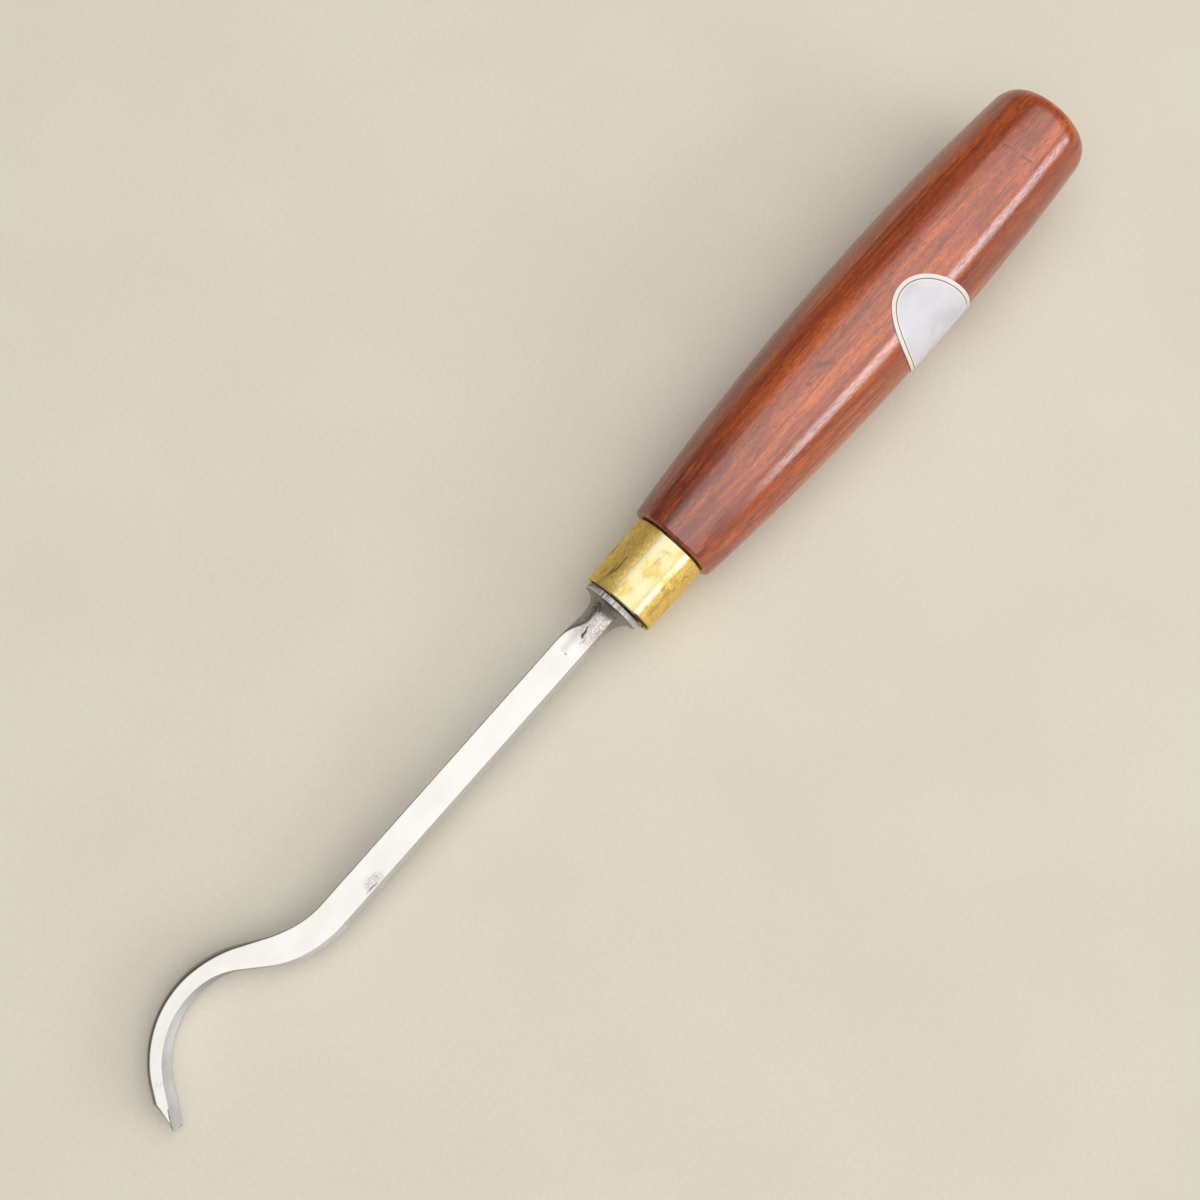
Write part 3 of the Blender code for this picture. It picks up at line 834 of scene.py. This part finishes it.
def neck_corners(s):
    """Corner sizes: outer high, inner high, inner low, outer low."""
    neck = neck_share(s)
    spoon = ease(THINNING_START, SPOON_ROOT, s)
    plain = mix(SHANK_CORNER, SPOON_CORNER, spoon)
    outer = mix(mix(SHANK_CORNER, SPOON_OUTER_CORNER, spoon), NECK_OUTER_CORNER, neck)
    return outer, plain, mix(plain, NECK_INNER_CORNER, neck), outer


def corner_insets(size, roundness):
    """Insets from the side and from the cap, round one corner. Roundness 0 cuts it straight."""
    insets = []
    for i in range(CORNER_STEPS + 1):
        share = i / CORNER_STEPS
        turn = share * math.pi / 2
        from_side = mix(share, 1 - math.cos(turn), roundness)
        from_cap = mix(1 - share, 1 - math.sin(turn), roundness)
        insets.append((size * from_side, size * from_cap))
    return insets


def box_ring(half, half_width, corners, roundness=1.0):
    """Section as (n, z) pairs, round from the outer high corner over the top, with its own corner sizes."""
    arcs = []
    for (side, cap), size in zip(((1, 1), (-1, 1), (-1, -1), (1, -1)), corners):
        insets = corner_insets(size, roundness)
        arc = [(side * (half - a), cap * (half_width - b)) for a, b in insets]
        arcs.append(arc if side == cap else arc[::-1])
    ring = []
    for i, steps in enumerate((TOP_STEPS, SIDE_STEPS, TOP_STEPS, SIDE_STEPS)):
        start = Vector(arcs[i][-1])
        end = Vector(arcs[(i + 1) % 4][0])
        ring += arcs[i]
        ring += [tuple(start.lerp(end, step / steps)) for step in range(1, steps)]
    return ring


def flare_radius(s):
    """Radius of the hollow flare between the neck and the collar."""
    small = FLARE_START_DIAMETER / 2
    reach = COLLAR_DIAMETER / 2 - COLLAR_ROUNDING - small
    share = clamp((COLLAR_THICKNESS + FLARE_LENGTH - s) / FLARE_LENGTH)
    return small + reach * (1 - math.sqrt(1 - share**2))


def flared(pair, s):
    """Push a point of the neck's section out to the flare, with a soft blend between the two."""
    centre = Vector((BOLSTER_OFFSET - BLADE_OFFSET, 0.0))
    arm = Vector(pair) - centre
    flare = flare_radius(s)
    overlap = max(FLARE_BLEND - abs(arm.length - flare), 0.0) / FLARE_BLEND
    reach = max(arm.length, flare) + overlap**2 * FLARE_BLEND / 4
    return centre + arm * (reach / arm.length)


def blade_ring(s):
    """Section of the blade at s, with the crown of the back, the flute, and the bevel at the edge."""
    half = blade_thickness(s) / 2
    half_width = blade_width(s) / 2
    crown = BACK_CROWN * ease(THINNING_START, SPOON_ROOT, s)
    flute = FLUTE_DEPTH * ease(SPOON_ROOT, SPOON_ROOT + FLUTE_RUN_IN, s)
    bevel = clamp((s - BEVEL_START) / BEVEL_LENGTH)
    ring = []
    for n, z in box_ring(half, half_width, neck_corners(s), mix(1.0, NECK_ROUNDNESS, neck_share(s))):
        if s < NECK_LENGTH:
            n, z = flared((n, z), s)
        bulge = 1 - min(abs(z) / half_width, 1.0) ** 2
        inner = -half + flute * bulge
        outer = half + crown * bulge
        full = (n + half) / (2 * half) * (outer - inner)
        n = inner + full * mix(1.0, EDGE_THICKNESS / (outer - inner), bevel)
        place, normal = blade_path(s + NOSE_ROUND * bevel * bulge)
        ring.append((*(place + n * normal), z))
    return ring


def collar_ring(s, radius):
    """Ring of the round collar, with its points in step with the neck's."""
    ring = []
    for pair in box_ring(SHANK_THICKNESS / 2, SHANK_DEPTH / 2, neck_corners(0.0), NECK_ROUNDNESS):
        arm = Vector(pair).normalized() * radius
        ring.append((COLLAR_BACK - s, BOLSTER_OFFSET + arm.x, arm.y))
    return ring


def tang_ring(reach):
    half = mix(TANG_ROOT_WIDTH, TANG_TIP_WIDTH, reach / TANG_LENGTH) / 2
    section = box_ring(half, half, (SHANK_CORNER,) * 4)
    return [(COLLAR_BACK + reach, BLADE_OFFSET + n, z) for n, z in section]


def blade_rows():
    """Rings from the tip of the tang, round the collar and along the blade to the cutting edge."""
    rim = COLLAR_DIAMETER / 2
    soft = COLLAR_ROUNDING
    rows = [[(COLLAR_BACK + TANG_LENGTH, BLADE_OFFSET, 0.0)], tang_ring(TANG_LENGTH), tang_ring(0.0)]
    rows.append(collar_ring(0.0, rim - soft))
    rows += [collar_ring(grown, rim - shrunk) for grown, shrunk in quarter_round(soft)]
    rows += [collar_ring(s, rim) for s in spread(soft, COLLAR_THICKNESS - soft, BLADE_STEP)]
    rows += [collar_ring(COLLAR_THICKNESS - shrunk, rim - grown) for grown, shrunk in quarter_round(soft)]
    rows += [blade_ring(s) for s in spread(COLLAR_THICKNESS, BLADE_END, BLADE_STEP)]
    tip, _ = blade_path(BLADE_END + NOSE_ROUND)
    rows.append([(*tip, 0.0)])
    return rows


def blade_marks(point, top_strokes, collar_strokes):
    """How deep in a stroke a point of the blade lies, on its upper flat or round its collar."""
    s = COLLAR_BACK - point[0]
    if s < COLLAR_THICKNESS:
        return stroke_share(round_the_tool(point), collar_strokes)
    if point[2] > SHANK_DEPTH / 4:
        return stroke_share(Vector((s, point[1])), top_strokes)
    return 0.0


def filed_share(point):
    """How far the filed finish of the flare and neck reaches along the blade."""
    s = COLLAR_BACK - point[0]
    return 0.0 if s < COLLAR_THICKNESS else 1.0 - ease(*FILED_END, s)


def rim_share(point):
    """How clear the file marks are on the rim of the collar: clearest on top, fainter towards -Y."""
    if COLLAR_BACK - point[0] > COLLAR_THICKNESS:
        return 0.0
    radius = math.hypot(point[1] - BOLSTER_OFFSET, point[2])
    rim = ease(COLLAR_DIAMETER / 2 - 2 * COLLAR_ROUNDING, COLLAR_DIAMETER / 2 - COLLAR_ROUNDING, radius)
    degrees = round_the_tool(point).y / DEGREE_LENGTH
    return rim * ease(*RIM_MARKS_START, degrees) * (1.0 - RIM_MARKS_LOSS * ease(*RIM_MARKS_FADE, degrees))


def steel_shade_share(point, normal):
    """Painted shade on the steel: the outer side turned to +Y, the flare and the hollow behind the spoon.
    """
    s = COLLAR_BACK - point[0]
    if s < COLLAR_THICKNESS:
        return 0.0
    square = ease(NECK_START, NECK_LENGTH, s)
    outer = mix(OUTER_STEEL_SHADE_NECK, OUTER_STEEL_SHADE_SHANK, square) * ease(*OUTER_FACING, normal.y)
    flare = FLARE_SHADE * (1.0 - ease(0.5 * FLARE_END, FLARE_END, s)) * (1.0 - ease(*TOP_FACING, normal.z))
    hollow = HOLLOW_SHADE * ease(*HOLLOW_DARKENS, s) * (1.0 - ease(*HOLLOW_CLEARS, s))
    return max(outer, flare, hollow * ease(*HOLLOW_FACING, -normal.y))


def satin_share(point, normal):
    """How satin the steel is: most in the flute of the spoon, less down the inner side and on the rim."""
    s = COLLAR_BACK - point[0]
    if s < COLLAR_THICKNESS:
        return RIM_SATIN
    if s < SHANK_LENGTH:
        return SIDE_SATIN * ease(*SIDE_SATIN_START, s) * ease(*SATIN_FACING, -normal.y)
    return ease(*SATIN_FACING, max(normal.x, -normal.y))


def make_blade():
    blade = add_piece("blade_steel", blade_rows(), make_steel(), "blade")
    vertices = blade.data.vertices
    pits = [blade_marks(vertex.co, BLADE_PITS, ()) for vertex in vertices]
    stains_and_shade = [blade_marks(vertex.co, BLADE_STAINS, COLLAR_SHADE) for vertex in vertices]
    paint(blade, "pit", pits)
    paint(blade, "stain_and_shade", stains_and_shade)
    paint(blade, "filed", [filed_share(vertex.co) for vertex in vertices])
    paint(blade, "rim", [rim_share(vertex.co) for vertex in vertices])
    # Painted shade on the outer side, the flare and the hollow behind the spoon
    paint(blade, "steel_shade", [steel_shade_share(vertex.co, vertex.normal) for vertex in vertices])
    paint(blade, "satin", [satin_share(vertex.co, vertex.normal) for vertex in vertices])
    moves = []
    for vertex, pit in zip(vertices, pits):
        height = STEEL_WAVES * ripple(vertex.co, STEEL_WAVE_LENGTH) - PIT_DEPTH * pit
        moves.append(height * vertex.normal)
    for vertex, move in zip(vertices, moves):
        vertex.co += move


# Label


def label_point(inset, turn, lift):
    """Point on the label at a distance in from its rim."""
    power = 2 / LABEL_ROUNDNESS
    short = (LABEL_LENGTH / 2 - inset) * math.copysign(abs(math.cos(turn)) ** power, math.cos(turn))
    long = (LABEL_WIDTH / 2 - inset) * math.copysign(abs(math.sin(turn)) ** power, math.sin(turn))
    x = LABEL_CENTRE + short * math.cos(LABEL_TILT) - long * math.sin(LABEL_TILT)
    around = short * math.sin(LABEL_TILT) + long * math.cos(LABEL_TILT)
    angle = LABEL_ANGLE + around / handle_radius(LABEL_CENTRE)
    radius = handle_radius(x) + lift
    return (x, -radius * math.sin(angle), radius * math.cos(angle))


def make_label():
    turns = [math.tau * i / LABEL_SPOKES for i in range(LABEL_SPOKES)]
    insets = [LABEL_LENGTH / 2 * (i / LABEL_RINGS) ** 2 for i in range(LABEL_RINGS + 1)]
    under = [[label_point(inset, turn, LABEL_LIFT) for turn in turns] for inset in insets]
    top = LABEL_LIFT + LABEL_THICKNESS
    over = [[label_point(inset, turn, top) for turn in turns] for inset in insets]
    label = add_piece("label_foil", under[::-1] + over, make_foil(), "label")
    depths = [inset for inset in insets for _ in turns]
    paint(label, "depth", depths[::-1] + depths)


# Stage, light and camera


def make_floor():
    half = FLOOR_SIZE / 2
    mesh = bpy.data.meshes.new("floor")
    corners = [(-half, -half, 0), (half, -half, 0), (half, half, 0), (-half, half, 0)]
    mesh.from_pydata(corners, [], [(0, 1, 2, 3)])
    mesh.materials.append(make_board())
    floor = bpy.data.objects.new("floor", mesh)
    bpy.context.scene.collection.objects.link(floor)


def add_panel(name, centre, aim, size, radiance, colour):
    """Flat rectangular light that faces aim and shines with the same strength all over."""
    light = bpy.data.lights.new(name, "AREA")
    light.shape = "RECTANGLE"
    light.size, light.size_y = size
    light.energy = radiance * math.pi * light.size * light.size_y
    light.color = colour
    panel = bpy.data.objects.new(name, light)
    bpy.context.scene.collection.objects.link(panel)
    backward = (centre - aim).normalized()
    across = Vector((1.0, 0.0, 0.0))
    turn = Matrix((across, backward.cross(across), backward)).transposed()
    panel.matrix_world = Matrix.Translation(centre) @ turn.to_4x4()


def make_lamps():
    middle_x = sum(PANEL_REACH_X) / 2
    middle_y = sum(PANEL_REACH_Y) / 2
    panel_size = (PANEL_REACH_X[1] - PANEL_REACH_X[0], PANEL_REACH_Y[1] - PANEL_REACH_Y[0])
    below = Vector((middle_x, middle_y, 0.0))
    overhead = below + Vector((0.0, 0.0, PANEL_HEIGHT))
    add_panel("overhead", overhead, below, panel_size, PANEL_RADIANCE, PANEL_COLOUR)
    height = (WINDOW_LOW + WINDOW_HIGH) / 2
    tall = 2 * WINDOW_DISTANCE * math.tan((WINDOW_HIGH - WINDOW_LOW) / 2)
    window_size = (WINDOW_REACH_X[1] - WINDOW_REACH_X[0], tall)
    aim = Vector((sum(WINDOW_REACH_X) / 2, 0.0, 0.0))
    window = aim + WINDOW_DISTANCE * Vector((0.0, -math.cos(height), math.sin(height)))
    add_panel("window", window, aim, window_size, WINDOW_RADIANCE, WINDOW_COLOUR)


def make_room():
    """The room round the tool, brighter towards the ceiling on the window's side."""
    world = bpy.data.worlds.new("room")
    world.use_nodes = True
    room = Nodes(world.node_tree)
    outward = room.node("ShaderNodeTexCoord").outputs["Generated"]
    facing = room.node("ShaderNodeVectorMath", {0: outward, 1: ROOM_BRIGHT_SIDE}, operation="DOT_PRODUCT")
    colour = room.mix(room.ramp(facing.outputs["Value"], *ROOM_FADE), ROOM_LOW, ROOM_HIGH)
    room.fill(room.tree.nodes["Background"].inputs["Color"], colour)
    bpy.context.scene.world = world


def make_camera():
    lens = bpy.data.cameras.new("camera")
    lens.lens = CAMERA_LENS
    lens.sensor_width = CAMERA_SENSOR
    lens.clip_start = CAMERA_CLIP
    camera = bpy.data.objects.new("camera", lens)
    bpy.context.scene.collection.objects.link(camera)
    aim = (CAMERA_AIM - CAMERA_PLACE).to_track_quat("-Z", "Y").to_matrix().to_4x4()
    camera.matrix_world = Matrix.Translation(CAMERA_PLACE) @ aim @ Matrix.Rotation(CAMERA_ROLL, 4, "Z")
    bpy.context.scene.camera = camera


make_blade()
make_ferrule()
make_handle()
make_label()
make_floor()
make_lamps()
make_room()
make_camera()
bpy.context.scene.view_settings.view_transform = "Standard"
